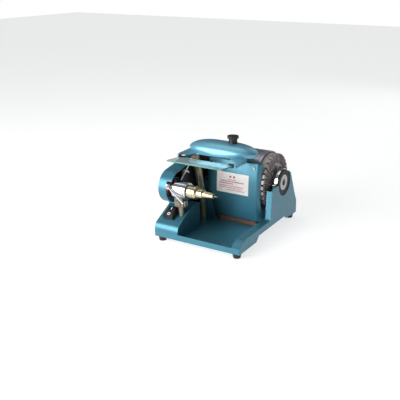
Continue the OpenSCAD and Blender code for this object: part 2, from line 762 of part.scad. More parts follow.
module arbor_tip() {
  color("#4a4a4c") union() {
    bar_x(shaft_x1 + 1, collet_x1 + 0.5, arbor_r, spindle_y, spindle_z);
    bar_x(collet_x1 + 0.5, arbor_x1, arbor_nose_r, spindle_y, spindle_z);
    cone_x(arbor_x1, arbor_x1 + 1.5, arbor_nose_r, arbor_nose_r - 1, spindle_y, spindle_z);
  }
}
saddle_z = spindle_z - quill_r - 3;
module head_post() {
  color(chrome) difference() {
    union() {
      translate([post_x, spindle_y, floor_z]) cylinder(h = saddle_z - floor_z + 1, r = post_r);
      translate([post_x, spindle_y, floor_z]) cylinder(h = 4, r = 12);
      block([post_x - 12, spindle_y - 13, saddle_z], [post_x + 12, spindle_y + 13, spindle_z - 12]);
    }
    bar_x(quill_x0 - 18, quill_x1 + 4, quill_r, spindle_y, spindle_z);
  }
}
ring_h = 15;
ring_z0 = saddle_z - ring_h - 0.5;
module lock_ring() {
  color(chrome) difference() {
    translate([post_x, spindle_y, ring_z0]) cylinder(h = ring_h, r = 16.5);
    translate([post_x, spindle_y, ring_z0 - 1]) cylinder(h = 20, r = post_r + run);
    for (i = [0:11]) translate([post_x, spindle_y, ring_z0 - 1]) rotate([0, 0, i * 30])
      translate([18, 0, 0]) cylinder(h = 20, r = 3.2);
  }
}

// ---- Hood column and drip pipe ----
column_x = guard_right + 15;
column_y = cover_y - 16;
column_bow = 476;
column_top = brim_z - 3;
column_turn = asin((column_top - floor_z - 4) / column_bow);
function column_at(z) = column_y - column_bow * (1 - cos(asin((z - floor_z - 4) / column_bow)));
module hood_column() {
  color("#c8b28c") union() {
    translate([column_x, column_y, floor_z]) cylinder(h = 4, r = column_r);
    translate([column_x, column_y - column_bow, floor_z + 4]) rotate([90, 0, 90])
      rotate_extrude(angle = column_turn, $fn = 200) translate([column_bow, 0]) circle(r = column_r, $fn = 48);
  }
}
drip_x = guard_right + 3.5;
drip_low = [spindle_y + 21, spindle_z + 17];
drip_high = [column_at(brim_z - 12), brim_z - 12];
drip_slope = atan2(drip_high[1] - drip_low[1], drip_high[0] - drip_low[0]);
drip_l = norm(drip_high - drip_low);
tap_at = 0.42 * drip_l;
module along_drip() {
  translate([drip_x, drip_low[0], drip_low[1]]) rotate([drip_slope - 90, 0, 0]) children();
}
module drip_pipe() {
  color("white") difference() {
    union() {
      along_drip() cylinder(h = drip_l, r = 1.5);
      along_drip() translate([0, 0, tap_at - 3]) cylinder(h = 6, r = 2.4);
      translate([drip_x, drip_high[0], drip_high[1]]) rotate([0, 90, 0]) cylinder(h = 8, r = 3.5);
      translate([drip_x, drip_high[0], drip_high[1]]) sphere(r = 3.5);
    }
    translate([column_x, 0, 0]) translate([0, column_y - column_bow, floor_z + 4]) rotate([90, 0, 90])
      rotate_extrude(angle = column_turn, $fn = 200) translate([column_bow, 0]) circle(r = column_r, $fn = 48);
    along_drip() translate([0, 0, tap_at]) rotate([0, 90, 0]) cylinder(h = 20, r = 1.2 + run);
  }
}
module drip_tap() {
  color("white") along_drip() translate([0.3, 0, tap_at]) rotate([0, 90, 0]) union() {
    cylinder(h = 9, r = 1.2);
    translate([0, 0, 7.5]) rotate([90, 0, 0]) cylinder(h = 8, r = 1.2, center = true);
  }
}

// ---- Hood ----
hood_y = cover_y + 2;
dome_y = hood_y + 8;
dome_wall = 2.5;
dome_left = left_x + 2;
hood_right = right_x - 46;
dome_x = (dome_left + hood_right) / 2;
dome_end = dome_x - dome_left;
// A long dome between two ellipsoids set a little apart
module dome(inset) {
  hull() for (x = [-12, 12])
    translate([dome_x + x, dome_y, brim_z])
      scale([dome_end - 12 - inset, dome_r - inset, dome_h - inset]) sphere(r = 1, $fn = 48);
}
stud_x = hood_right - 68;
stud_y = hood_y + 10;
ear_left = left_x + 7;
ear_right = hood_right - 19;
module brim_outline() {
  difference() {
    translate([0, hood_y]) polygon([
      [left_x + 2, -52], [ear_left, -58], [ear_left, -66], [ear_left + 4.5, -66], [ear_left + 4.5, -54],
      [left_x + 24, -46], [left_x + 42, -31], [hood_right - 54, -26], [hood_right - 37, -40],
      [hood_right - 35, -54], [ear_right - 4.5, -54], [ear_right - 4.5, -66], [ear_right, -66],
      [ear_right + 1, 2], [hood_right - 8, 12], [hood_right - 14, 30], [hood_right - 44, 40],
      [left_x + 30, 40], [left_x + 2, 10]
    ]);
    translate([dome_x, dome_y]) polygon([
      [16 - dome_end, 18], [44 - dome_end, 28], [dome_end - 44, 28], [dome_end - 16, 18],
      [dome_end - 16, -18], [dome_end - 44, -28], [44 - dome_end, -28], [16 - dome_end, -18]
    ]);
  }
}
module hood_shell() {
  color("#5fb4cf") difference() {
    union() {
      difference() {
        dome(0);
        dome(dome_wall);
        block([-200, -100, 100], [200, 100, brim_z]);
      }
      translate([0, 0, brim_z - 3]) linear_extrude(3) brim_outline();
      block([ear_left, hood_y - 66, brim_z - 12], [ear_left + 4.5, hood_y - 54, brim_z - 3]);
      block([ear_right - 4.5, hood_y - 66, brim_z - 12], [ear_right, hood_y - 6, brim_z - 3]);
      translate([stud_x, stud_y, brim_z - 3]) cylinder(h = dome_h + 1.5, r = 8);
    }
    translate([stud_x, stud_y, brim_z - 10]) cylinder(h = 60, r = 4.3);
    for (x = [ear_left - 7, ear_right - 7]) bar_x(x, x + 14, pin_r, pin_y, pin_z);
  }
}
pin_y = hood_y - 60;
pin_z = brim_z - 7;
pin_r = 2;
glass_x0 = ear_left + 7;
glass_x1 = ear_right - 6;
module tilted() {
  translate([0, pin_y, pin_z]) rotate([-shield_rest, 0, 0]) translate([0, -pin_y, -pin_z]) children();
}
module shield_glass() {
  color([0.75, 0.88, 0.86, 0.5]) tilted()
    block([glass_x0, pin_y - 6 - glass_d, pin_z - glass_t / 2], [glass_x1, pin_y - 6, pin_z + glass_t / 2]);
}
module clip(x0, x1) {
  difference() {
    union() {
      bar_x(x0, x1, 4.5, pin_y, pin_z);
      block([x0, pin_y - 12, pin_z - 4], [x1, pin_y, pin_z + 4]);
    }
    block([x0 - 1, pin_y - 20, pin_z - glass_t / 2], [x1 + 1, pin_y - 6, pin_z + glass_t / 2]);
    bar_x(x0 - 1, x1 + 1, pin_r + run, pin_y, pin_z);
  }
}
module shield_clips() {
  color(black) tilted() {
    clip(glass_x0 - 2.2, glass_x0 + 8);
    clip(glass_x1 - 10, glass_x1 + 1.2);
  }
}
module shield_pins() {
  color(black) {
    bar_x(ear_left, glass_x0 + 10, pin_r, pin_y, pin_z);
    bar_x(glass_x0 + 8.3, glass_x0 + 12, 4.5, pin_y, pin_z);
    bar_x(glass_x1 - 12, ear_right, pin_r, pin_y, pin_z);
    bar_x(glass_x1 - 15, glass_x1 - 10.3, 4.5, pin_y, pin_z);
  }
}
lamp_y = dome_y - 14;
lamp_z = brim_z + 6;
lamp_x0 = dome_x - 44;
lamp_x1 = dome_x + 44;
module lamp_tube() { color("#f4f2ea") bar_x(lamp_x0, lamp_x1, 7, lamp_y, lamp_z); }
module lamp_holders() {
  color("#d8d8d4") for (x = [lamp_x0 - 8, lamp_x1]) difference() {
    block([x, lamp_y - 7, brim_z - 2], [x + 8, lamp_y + 7, brim_z + 13]);
    bar_x(x - 1, x + 9, 2, lamp_y, lamp_z);
  }
}
dome_top = brim_z + dome_h;
module hood_stud() {
  color(steel) union() {
    translate([stud_x, stud_y, cover_top]) cylinder(h = dome_top + 9 - cover_top, r = 4);
    translate([stud_x, stud_y, cover_top]) cylinder(h = brim_z - 3 - cover_top, r = 8);
  }
}
knob_neck = knob_h - 6;
module hood_knob() {
  color(black) translate([stud_x, stud_y, dome_top + gap]) difference() {
    union() {
      cylinder(h = knob_neck, r = knob_r - 3.5);
      translate([0, 0, knob_neck]) cylinder(h = knob_h - knob_neck, r = knob_r);
    }
    for (i = [0:17])
      rotate([0, 0, i * 20]) translate([knob_r + 0.8, 0, knob_neck - 1])
        cylinder(h = knob_h, r = 1.5, $fn = 16);
    translate([0, 0, -1]) cylinder(h = 11, r = 4 + run);
  }
}

base_pan();
control_pod();
foot(0);  // foot_front_left
foot(1);  // foot_front_right
foot(2);  // foot_rear_left
foot(3);  // foot_rear_right
foot_screws();
stand_left();
stand_right();
belt_guard();
guard_plate();
guard_screws();
motor_pulley();
spindle_pulley();
drive_belt();
motor_shell();
end_bell_left();
end_bell_right();
stator();
rotor();
motor_shaft();
motor_bearings();
cooling_fan();
hub_rings();
clamp_straps();
strap_screws();
splash_cover();
cover_screws();
label_plate();
packing_strip();
quill_housing();
spindle_bearings();
bearing_spacer();
spindle_shaft();
seal_collar();
release_paddle();
lever_bracket();
release_lever();
lever_screw();
chuck_body();
collet_nut();
collet();
arbor_tip();
head_post();
lock_ring();
drip_pipe();
drip_tap();
hood_shell();
lamp_tube();
lamp_holders();
hood_column();
hood_stud();
hood_knob();
shield_glass();
shield_clips();
shield_pins();
switch_body();
switch_rocker();
power_inlet();
start_capacitor();
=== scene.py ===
# Bench carving and polishing machine: belt-driven horizontal spindle, tray base, hood and shield.
import json
import math

import bmesh
import bpy
from mathutils import Matrix, Vector


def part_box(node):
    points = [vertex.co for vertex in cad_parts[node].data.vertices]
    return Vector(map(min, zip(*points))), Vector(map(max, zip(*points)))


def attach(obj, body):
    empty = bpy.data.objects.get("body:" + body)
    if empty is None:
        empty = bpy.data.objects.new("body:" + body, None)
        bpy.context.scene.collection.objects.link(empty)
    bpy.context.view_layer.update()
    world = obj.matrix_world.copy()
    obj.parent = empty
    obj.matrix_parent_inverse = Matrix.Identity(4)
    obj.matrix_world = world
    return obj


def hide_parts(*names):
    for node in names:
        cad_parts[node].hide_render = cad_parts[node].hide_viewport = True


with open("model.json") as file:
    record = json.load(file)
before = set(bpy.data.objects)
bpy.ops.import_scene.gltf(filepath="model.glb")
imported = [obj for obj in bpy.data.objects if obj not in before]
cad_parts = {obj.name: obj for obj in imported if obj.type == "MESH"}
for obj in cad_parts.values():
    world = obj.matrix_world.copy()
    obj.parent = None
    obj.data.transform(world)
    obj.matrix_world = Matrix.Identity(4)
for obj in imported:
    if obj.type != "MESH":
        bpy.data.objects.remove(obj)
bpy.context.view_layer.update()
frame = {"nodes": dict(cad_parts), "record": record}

MM = 0.001
BODY_OF = {n: b for b, members in frame["record"]["behaviour"]["bodies"].items() for n in members}
SLOT_OF = {part["node"]: part["material_slot"] for part in frame["record"]["subparts"]}


# ---- Colour, material and mesh helpers ----
def colour(hex_code):
    """An sRGB hex colour as linear RGBA."""
    channels = [int(hex_code[i:i + 2], 16) / 255 for i in (0, 2, 4)]
    return [c / 12.92 if c <= 0.04045 else ((c + 0.055) / 1.055) ** 2.4 for c in channels] + [1.0]


def add(tree, kind, inputs=None, **settings):
    """Adds a node, sets its properties, and fills or links its inputs."""
    made = tree.nodes.new(kind)
    for key, value in settings.items():
        setattr(made, key, value)
    for key, value in (inputs or {}).items():
        if isinstance(value, bpy.types.NodeSocket):
            tree.links.new(value, made.inputs[key])
        else:
            made.inputs[key].default_value = value
    return made


def ramp(tree, factor, *stops):
    """A colour ramp over (position, hex colour) stops."""
    made = add(tree, "ShaderNodeValToRGB", {"Fac": factor})
    elements = made.color_ramp.elements
    while len(elements) < len(stops):
        elements.new(0.5)
    for element, (position, hex_code) in zip(elements, stops):
        element.position = position
        element.color = colour(hex_code)
    return made.outputs["Color"]


def surface(name, **fixed):
    """A material with a Principled shader whose uniform values are set on its own sockets."""
    made = bpy.data.materials.new(name)
    made.use_nodes = True
    tree = made.node_tree
    shader = tree.nodes["Principled BSDF"]
    for key, value in fixed.items():
        shader.inputs[key.replace("_", " ")].default_value = value
    coords = add(tree, "ShaderNodeTexCoord").outputs["Object"]
    return made, tree, shader, coords


def noise(tree, coords, size_mm, detail=3.0, rough=0.5):
    """Noise whose lumps are about size_mm across."""
    return add(tree, "ShaderNodeTexNoise", {
        "Vector": coords, "Scale": 1.0 / (size_mm * MM), "Detail": detail, "Roughness": rough,
    }).outputs["Fac"]


def spread(tree, factor, low, high):
    """Maps a 0 to 1 factor between two values."""
    return add(tree, "ShaderNodeMapRange", {
        "Value": factor, "From Min": 0.3, "From Max": 0.7, "To Min": low, "To Max": high,
    }).outputs["Result"]


def bump(tree, height, depth_mm):
    """Relief of a real depth, as a normal for a shader."""
    inputs = {"Height": height, "Distance": depth_mm * MM, "Strength": 1.0}
    return add(tree, "ShaderNodeBump", inputs).outputs["Normal"]


def enamel(name, body_hex, shade_hex, roughness=0.4, metallic=0.55):
    """Metallic stoved enamel: a slow drift of colour over fine flake, under a thin clear top coat."""
    made, tree, shader, coords = surface(name, Metallic=metallic, Coat_Weight=0.2, Coat_Roughness=0.2)
    drift = noise(tree, coords, 60, 2.0)
    tree.links.new(ramp(tree, drift, (0.35, shade_hex), (0.65, body_hex)), shader.inputs["Base Color"])
    grain = noise(tree, coords, 8, 3.0)
    tree.links.new(spread(tree, grain, roughness - 0.03, roughness + 0.05), shader.inputs["Roughness"])
    return made


def bare_metal(name, light_hex, dark_hex, roughness, brush=(1.0, 1.0, 1.0), size_mm=6.0, depth_mm=0.004):
    """Bare metal: colour and gloss drift over a brushed or turned grain."""
    made, tree, shader, coords = surface(name, Metallic=1.0)
    stretched = add(tree, "ShaderNodeMapping", {"Vector": coords, "Scale": brush}).outputs["Vector"]
    grain = noise(tree, stretched, size_mm, 4.0, 0.6)
    tree.links.new(ramp(tree, grain, (0.3, dark_hex), (0.7, light_hex)), shader.inputs["Base Color"])
    tree.links.new(spread(tree, grain, roughness * 0.8, roughness * 1.25), shader.inputs["Roughness"])
    if depth_mm:
        tree.links.new(bump(tree, grain, depth_mm), shader.inputs["Normal"])
    return made


def moulded(name, light_hex, dark_hex, roughness, size_mm=1.2, depth_mm=0.02, **fixed):
    """A moulded, cast or printed surface: slight wear in its colour and gloss over a fine grain."""
    made, tree, shader, coords = surface(name, **fixed)
    wear = noise(tree, coords, 14, 3.0)
    tree.links.new(ramp(tree, wear, (0.3, dark_hex), (0.7, light_hex)), shader.inputs["Base Color"])
    tree.links.new(spread(tree, wear, roughness - 0.06, roughness + 0.06), shader.inputs["Roughness"])
    grain = noise(tree, coords, size_mm, 2.0)
    tree.links.new(bump(tree, grain, depth_mm), shader.inputs["Normal"])
    return made


# ---- Materials ----
# Sprayed and baked on castings and sheet: a broad soft sheen, bright where it faces the light
TEAL = enamel("teal stoved enamel", "3f7b8e", "3b7689")
# The same enamel in a paler batch on the hood, so the dome reads lighter than the base
TEAL_LIGHT = enamel("light teal stoved enamel", "72aec4", "6ba8bf")
# Sprayed on the rolled motor shell: a tighter sheen that runs along the barrel
LILAC = enamel("lilac grey motor enamel", "9c9aa8", "93919f", 0.3)
# Satin paint on the plate inside the guard: its dark grey is painted shade of the guard's recess, and it
# keeps a dull edge
GUARD_RECESS_SHADE = enamel("dark grey satin paint", "34363a", "2c2e31", 0.4)
# Plated and buffed: sharp light and dark bands round the quill
CHROME = bare_metal("polished chrome plate", "dcdcde", "cfd0d3", 0.12, size_mm=20, depth_mm=0.0005)
# Plating dulled by slurry and hands: warm, brownish, with blurred reflections
WORN_CHROME = bare_metal("worn warm chrome", "a39a8a", "6e675b", 0.3, size_mm=7, depth_mm=0.0)
# Satin plating: an even pale lever that stands out on the bright quill
SATIN_CHROME = bare_metal("satin chrome lever", "f0f0f0", "dedede", 0.38, size_mm=9, depth_mm=0.0)
# Machined steel left bare: fine streaks along the axis that spread the highlight
TURNED = bare_metal("turned steel", "b4b4b6", "9b9b9e", 0.28, (0.15, 1, 1), 1.2)
# Buffed nickel plate on the chuck, nut and collet: warm cream bands with dark lines
NICKEL = bare_metal("warm polished nickel", "d9cba8", "c4b48e", 0.2, (4, 1, 1), 5.0, 0.0005)
# Bright zinc on screws and the capacitor can: grey with a faint spangle
ZINC = bare_metal("zinc plated steel", "c2c4c6", "a4a7ab", 0.3, size_mm=4)
# Yellow passivated screws: small warm points beside the hub
BRASS = bare_metal("yellow zinc brass", "c9a558", "ab8740", 0.25, size_mm=4)
# Sand-cast end bell left raw: matt, grey-brown and grainy
ALLOY = moulded("sand cast alloy", "bdb5b4", "958d8c", 0.5, 2.0, 0.03, Metallic=0.35)
# Faced bearing cap: pale with a fine speckle
CAST_FACE = bare_metal("bright cast bearing cap", "dcdade", "8c8a90", 0.4, size_mm=1.6, depth_mm=0.02)
# Casting at the belt end: its straw colour is a painted warm reflection, with a soft shine
ALLOY_IN_WARM_REFLECTION = bare_metal("cast alloy in painted warm reflection", "c7ae84", "9c8058", 0.3, size_mm=3, depth_mm=0.01)
# Hardened arbor: darker than the collet that grips it
TOOL_STEEL = bare_metal("dark tool steel", "6a6a6c", "4a4a4c", 0.35, size_mm=2)
# Tinted plated tube: a smooth warm shine with little contrast
BRONZE = moulded("warm bronze chrome tube", "b8aa90", "94846b", 0.2, 8, 0.0, Metallic=0.8)
# Moulded nitrile: nearly black and dull
RUBBER = moulded("black nitrile rubber", "202022", "161617", 0.62, 1.5, 0.05)
# Moulded nylon: black with a soft broad highlight
BLACK = moulded("black moulded nylon", "1b1b1d", "131314", 0.42)
# Moulded nylon inside the machine: a plain warm cream
CREAM = moulded("cream moulded nylon", "ddd3b4", "cfc4a2", 0.45)
# Glossy acetal paddle: deep red with a clear highlight
RED = moulded("red moulded acetal", "a01830", "861225", 0.25, Coat_Weight=0.4)
# Coated drip pipe: clean white with a round highlight
WHITE_TUBE = moulded("white coated tube", "ececea", "dcdcd8", 0.3)
# Resin-bonded board: dull brown with a fine grain
PHENOLIC = moulded("brown phenolic board", "6e5040", "553a2c", 0.5, 0.8, 0.04)
# Varnished copper wire: close bright strands
WINDING = bare_metal("varnished copper winding", "b0683a", "7c4426", 0.35, (0.2, 3, 3), 1.5, 0.1)
# Vinyl sticker: flat warm white
LABEL = moulded("white vinyl label", "f4eeec", "ece5e3", 0.5, 3, 0.01)
# Screen-printed ink: flat red dashes
RED_INK = moulded("red printing ink", "b8454a", "a83a40", 0.5)
# Moulded-in marks: plain white on the black rocker
WHITE_INK = moulded("white moulded mark", "f2f0ea", "e6e4de", 0.45)
# Opal tube: milky white and glossy
OPAL = moulded("opal lamp glass", "f4f4ee", "eaeae2", 0.2, Coat_Weight=0.5)


def float_glass():
    """Clear float glass: faintly green, with a near-white diffuse share that is a painted reflection, and a
    smear drifting through its tint.
    """
    made, tree, shader, coords = surface(
        "clear float glass", Transmission_Weight=0.72, IOR=1.5, Roughness=0.01)
    smear = noise(tree, coords, 25, 3.0)
    # The near-white diffuse colour stands for a painted reflection on the pane
    tree.links.new(ramp(tree, smear, (0.3, "dcecea"), (0.7, "e8f4f2")), shader.inputs["Base Color"])
    return made


GLASS = float_glass()
# Ground edge: the green that shows through the depth of the pane
GLASS_EDGE = moulded("ground green glass edge", "4f9c8e", "3f877a", 0.3, Transmission_Weight=0.3)

NODE_FINISH = {
    "base_pan": TEAL, "control_pod": TEAL, "stand_left": TEAL, "stand_right": TEAL, "belt_guard": TEAL,
    "splash_cover": TEAL, "hood_shell": TEAL_LIGHT, "foot_front_left": RUBBER, "foot_front_right": RUBBER,
    "foot_rear_left": RUBBER, "foot_rear_right": RUBBER, "hub_rings": RUBBER, "drive_belt": RUBBER,
    "foot_screws": ZINC, "guard_screws": ZINC, "cover_screws": ZINC, "lever_screw": ZINC,
    # The guard plate takes the dark grey painted shade of the guard's recess
    "start_capacitor": ZINC, "hood_stud": ZINC, "guard_plate": GUARD_RECESS_SHADE, "seal_collar": BLACK,
    "motor_pulley": TURNED, "spindle_pulley": TURNED, "rotor": TURNED, "motor_shaft": TURNED,
    "spindle_shaft": TURNED, "bearing_spacer": TURNED, "motor_bearings": TURNED,
    "spindle_bearings": TURNED, "lever_bracket": SATIN_CHROME, "motor_shell": LILAC,
    # The left end bell's straw colour is a painted warm reflection
    "end_bell_right": ALLOY, "end_bell_left": ALLOY_IN_WARM_REFLECTION, "stator": WINDING, "cooling_fan": CREAM,
    "lamp_holders": CREAM, "clamp_straps": CHROME, "quill_housing": CHROME, "head_post": WORN_CHROME,
    "lock_ring": WORN_CHROME, "release_lever": SATIN_CHROME, "strap_screws": BRASS, "chuck_body": NICKEL,
    "collet_nut": NICKEL, "collet": NICKEL, "label_plate": LABEL, "packing_strip": PHENOLIC,
    "release_paddle": RED, "arbor_tip": TOOL_STEEL, "drip_pipe": WHITE_TUBE, "drip_tap": WHITE_TUBE,
    "lamp_tube": OPAL, "hood_column": BRONZE, "hood_knob": BLACK, "shield_clips": BLACK,
    "shield_pins": BLACK, "switch_body": BLACK, "switch_rocker": BLACK, "power_inlet": BLACK,
    "shield_glass": GLASS,
}


def finish_cad_nodes():
    """Gives each carried-over node its finish."""
    for name, obj in frame["nodes"].items():
        for slot in obj.material_slots:
            slot.material = NODE_FINISH[name]
        if not obj.material_slots:
            obj.data.materials.append(NODE_FINISH[name])


# ---- Mesh helpers ----
def link(name, mesh, material, smooth_deg=38):
    """Makes an object from a finished mesh, smooth except at its sharp edges."""
    mesh.polygons.foreach_set("use_smooth", [True] * len(mesh.polygons))
    mesh.set_sharp_from_angle(angle=math.radians(smooth_deg))
    if not mesh.materials:
        mesh.materials.append(material)
    piece = bpy.data.objects.new(name, mesh)
    bpy.context.scene.collection.objects.link(piece)
    return piece


def from_points(name, points, faces):
    """A mesh from points in millimetres, with its faces turned outward."""
    mesh = bpy.data.meshes.new(name)
    mesh.from_pydata([[v * MM for v in p] for p in points], [], faces)
    shape = bmesh.new()
    shape.from_mesh(mesh)
    bmesh.ops.remove_doubles(shape, verts=shape.verts, dist=1e-6)
    bmesh.ops.recalc_face_normals(shape, faces=shape.faces)
    shape.to_mesh(mesh)
    shape.free()
    return mesh


def round_edges(piece, width_mm, segments=2, limit_deg=32):
    """Rounds the sharp edges, as a casting's fettled edge or a broken machined edge."""
    edge = piece.modifiers.new("rounded edge", "BEVEL")
    edge.width = width_mm * MM
    edge.segments = segments
    edge.limit_method = "ANGLE"
    edge.angle_limit = math.radians(limit_deg)
    edge.harden_normals = False


def settle(piece, slot, body, *nodes):
    """Hides the nodes that the piece stands for and hangs the piece on the body that carries it; the slot is
    not used.
    """
    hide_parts(*nodes)
    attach(piece, body)


MERGE_DISTANCE = 2e-6
CASTING_FLATNESS = math.radians(0.8)
PANE_FLATNESS = 0.01


def merged_copy(node, flatness):
    """A bare copy of a node's mesh, with doubled points merged and flat faces joined."""
    mesh = frame["nodes"][node].data.copy()
    mesh.name = node + ".finished"
    shape = bmesh.new()
    shape.from_mesh(mesh)
    bmesh.ops.remove_doubles(shape, verts=shape.verts, dist=MERGE_DISTANCE)
    bmesh.ops.dissolve_limit(shape, angle_limit=flatness, verts=shape.verts, edges=shape.edges)
    shape.to_mesh(mesh)
    shape.free()
    mesh.materials.clear()
    return mesh


def soften(node, width_mm, segments=2, limit_deg=32):
    """A merged copy with rounded edges stands for the node."""
    mesh = merged_copy(node, CASTING_FLATNESS)
    piece = link(node + "_finished", mesh, NODE_FINISH[node])
    round_edges(piece, width_mm, segments, limit_deg)
    settle(piece, SLOT_OF[node], BODY_OF[node], node)
    return piece


def lathe(profile, y, z, steps):
    """The points and faces of a ring turned about an X axis at (y, z), from a closed (x, radius) profile."""
    points, faces = [], []
    rows = len(profile)
    for i in range(steps):
        angle = 2 * math.pi * i / steps
        for x, r in profile:
            points.append((x, y + r * math.cos(angle), z + r * math.sin(angle)))
        for j in range(rows):
            a, b = i * rows + j, i * rows + (j + 1) % rows
            c, d = ((i + 1) % steps) * rows + (j + 1) % rows, ((i + 1) % steps) * rows + j
            faces.append((a, b, c, d))
    return points, faces


def turned(name, node, profile, y, z, steps=96):
    """A lathe-turned piece that stands for a node."""
    piece = link(name, from_points(name, *lathe(profile, y, z, steps)), NODE_FINISH[node], 28)
    settle(piece, SLOT_OF[node], BODY_OF[node], node)
    return piece


def box_points(low, high):
    """The eight corners of a box, in the order that BOX_FACES joins."""
    return [(x, y, z) for x in (low[0], high[0]) for y in (low[1], high[1]) for z in (low[2], high[2])]


BOX_FACES = [(0, 1, 3, 2), (4, 6, 7, 5), (0, 4, 5, 1), (2, 3, 7, 6), (0, 2, 6, 4), (1, 5, 7, 3)]


def low_high(node):
    """A node's box in millimetres."""
    low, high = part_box(node)
    return [v / MM for v in low], [v / MM for v in high]


def centre(node):
    """The middle of a node's box in millimetres."""
    low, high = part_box(node)
    return [(a + b) / 2 / MM for a, b in zip(low, high)]


# ---- Castings and painted sheet ----
DOME_CENTRE = (-22.0, 8.0, 200.0)
DOME_REACH = (96.0, 38.0, 28.0)
DOME_FULLNESS = 2.6
DOME_FLOOR = 0.04
DOME_BLEND = 0.3


def painted_castings():
    """The enamelled castings and plates, with fettled edges and a fuller dome."""
    for node, width in (
        ("base_pan", 2.4), ("control_pod", 3.0), ("belt_guard", 2.6), ("stand_left", 0.9),
        ("stand_right", 1.2), ("guard_plate", 0.5),
    ):
        soften(node, width, 3)
    fuller_dome(soften("hood_shell", 0.9, 3))


def fuller_dome(hood):
    """Swells the pressed dome toward its box, so that its ends turn down as a deep pressing's do."""
    for corner in hood.data.vertices:
        away = [(c / MM - m) / r for c, m, r in zip(corner.co, DOME_CENTRE, DOME_REACH)]
        if away[2] < DOME_FLOOR or max(abs(a) for a in away[:2]) > 1.0:
            continue
        length = math.sqrt(sum(a * a for a in away))
        full = sum(abs(a) ** DOME_FULLNESS for a in away) ** (1 / DOME_FULLNESS)
        swell = 1 + (length / full - 1) * min(1.0, away[2] / DOME_BLEND)
        corner.co = [
            (m + r * max(-1.0, min(1.0, a * swell))) * MM
            for a, m, r in zip(away, DOME_CENTRE, DOME_REACH)
        ]


COVER_BOW_R = 374.0
COVER_BOW_Z = 107.0
COVER_ROWS = 44
CHEEK_DEPTH = 7.0
CHEEK_WAIST_Z = 112
CHEEK_SPREAD_UP = 3.2
CHEEK_SPREAD_DOWN = 7.0
CHEEK_SCALE = 80
SHEET_THICKNESS = 1.6


def cover_front(z, stand_off=0.0):
    """The Y of the bowed cover's face at a height."""
    bow_y = low_high("splash_cover")[0][1] + COVER_BOW_R
    return bow_y - math.sqrt((COVER_BOW_R + stand_off) ** 2 - (z - COVER_BOW_Z) ** 2)


def splash_cover():
    """One folded sheet: a bowed face, a lip over the motor, and side cheeks that follow the motor."""
    low, high = low_high("splash_cover")
    left, right = low[0] + 0.2, high[0] - 8
    bottom, top = low[2], high[2]
    points, faces = [], []
    for i in range(COVER_ROWS + 1):
        z = bottom + (top - bottom) * i / COVER_ROWS
        t = (z - CHEEK_WAIST_Z) / CHEEK_SCALE
        flare = CHEEK_DEPTH + (CHEEK_SPREAD_UP if t > 0 else CHEEK_SPREAD_DOWN) * t * t
        y = cover_front(z)
        points += [
            (left, y + 8, z), (left, y + 1.2, z), (left + 1.2, y, z), (right - 1.5, y, z),
            (right + 0.6, y + 0.5, z), (right + flare, y + flare, z),
        ]
        if i:
            for j in range(5):
                a = (i - 1) * 6 + j
                faces.append((a, a + 1, a + 7, a + 6))
    # The lip folds back over the motor
    last = COVER_ROWS * 6
    lip = high[1] - 1
    for x, y in ((left + 1.2, lip), (right - 1.5, lip)):
        points.append((x, y, top))
    faces.append((last + 2, last + 3, len(points) - 1, len(points) - 2))
    piece = link("splash_cover_sheet", from_points("splash_cover_sheet", points, faces), TEAL, 50)
    wall = piece.modifiers.new("sheet thickness", "SOLIDIFY")
    wall.thickness = SHEET_THICKNESS * MM
    wall.offset = -1
    wall.use_even_offset = True
    # Turn the sheet's faces to the front, so that its thickness goes inward
    if piece.data.polygons[2].normal.y > 0:
        piece.data.flip_normals()
    round_edges(piece, 0.5)
    settle(piece, SLOT_OF["splash_cover"], "frame", "splash_cover")


PRINT_STAND_OFF = 0.6
DASH_WIDTHS = (2.6, 3.4, 1.8, 3.0, 2.2)
DASH_GAP = 0.8


def label_print():
    """Red bars stand for print: two squares as a heading over six broken lines, with no letters."""
    low, high = low_high("label_plate")
    mid = (low[0] + high[0]) / 2
    points, faces = [], []

    def dash(x0, x1, z0, z1):
        start = len(points)
        for x in (x0, x1):
            for z in (z0, z1):
                y = cover_front(z, PRINT_STAND_OFF)
                points.extend([(x, y - 0.05, z), (x, y + 0.3, z)])
        faces.extend(tuple(start + k for k in face) for face in BOX_FACES)

    for x, w in ((mid - 9, 5), (mid + 2, 5)):
        dash(x, x + w, high[2] - 13, high[2] - 8)
    step = 0
    for drop, x0, x1, height in (
        (19, mid - 13, mid + 9, 1.6), (24.5, low[0] + 12, high[0] - 12, 2.4),
        (30, low[0] + 8, low[0] + 48, 2.4), (36, low[0] + 8, high[0] - 14, 1.6),
        (41, low[0] + 8, high[0] - 18, 1.6), (46, low[0] + 30, high[0] - 12, 1.4),
    ):
        x = x0
        while x < x1:
            step += 1
            width = DASH_WIDTHS[step % len(DASH_WIDTHS)]
            dash(x, min(x + width, x1), high[2] - drop, high[2] - drop + height)
            x += width + DASH_GAP
    piece = link("label_print", from_points("label_print", points, faces), RED_INK)
    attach(piece, "frame")


# ---- Spindle head ----
QUILL_R = 22
QUILL_LENGTH = 38
NECK_R = 12
RETAINER_R = 14
RETAINER_DEPTH = 9.2
CHUCK_R = 16.7
CHUCK_LENGTH = 26.4
CHUCK_SOCKET_R = 6.1
CHUCK_SOCKET_FLOOR = 12.8
NUT_R = 12.3
NUT_LENGTH = 16
ARBOR_BORE_R = 3.1
RUNNING_GAP = 0.6
RING_LINE = 0.8


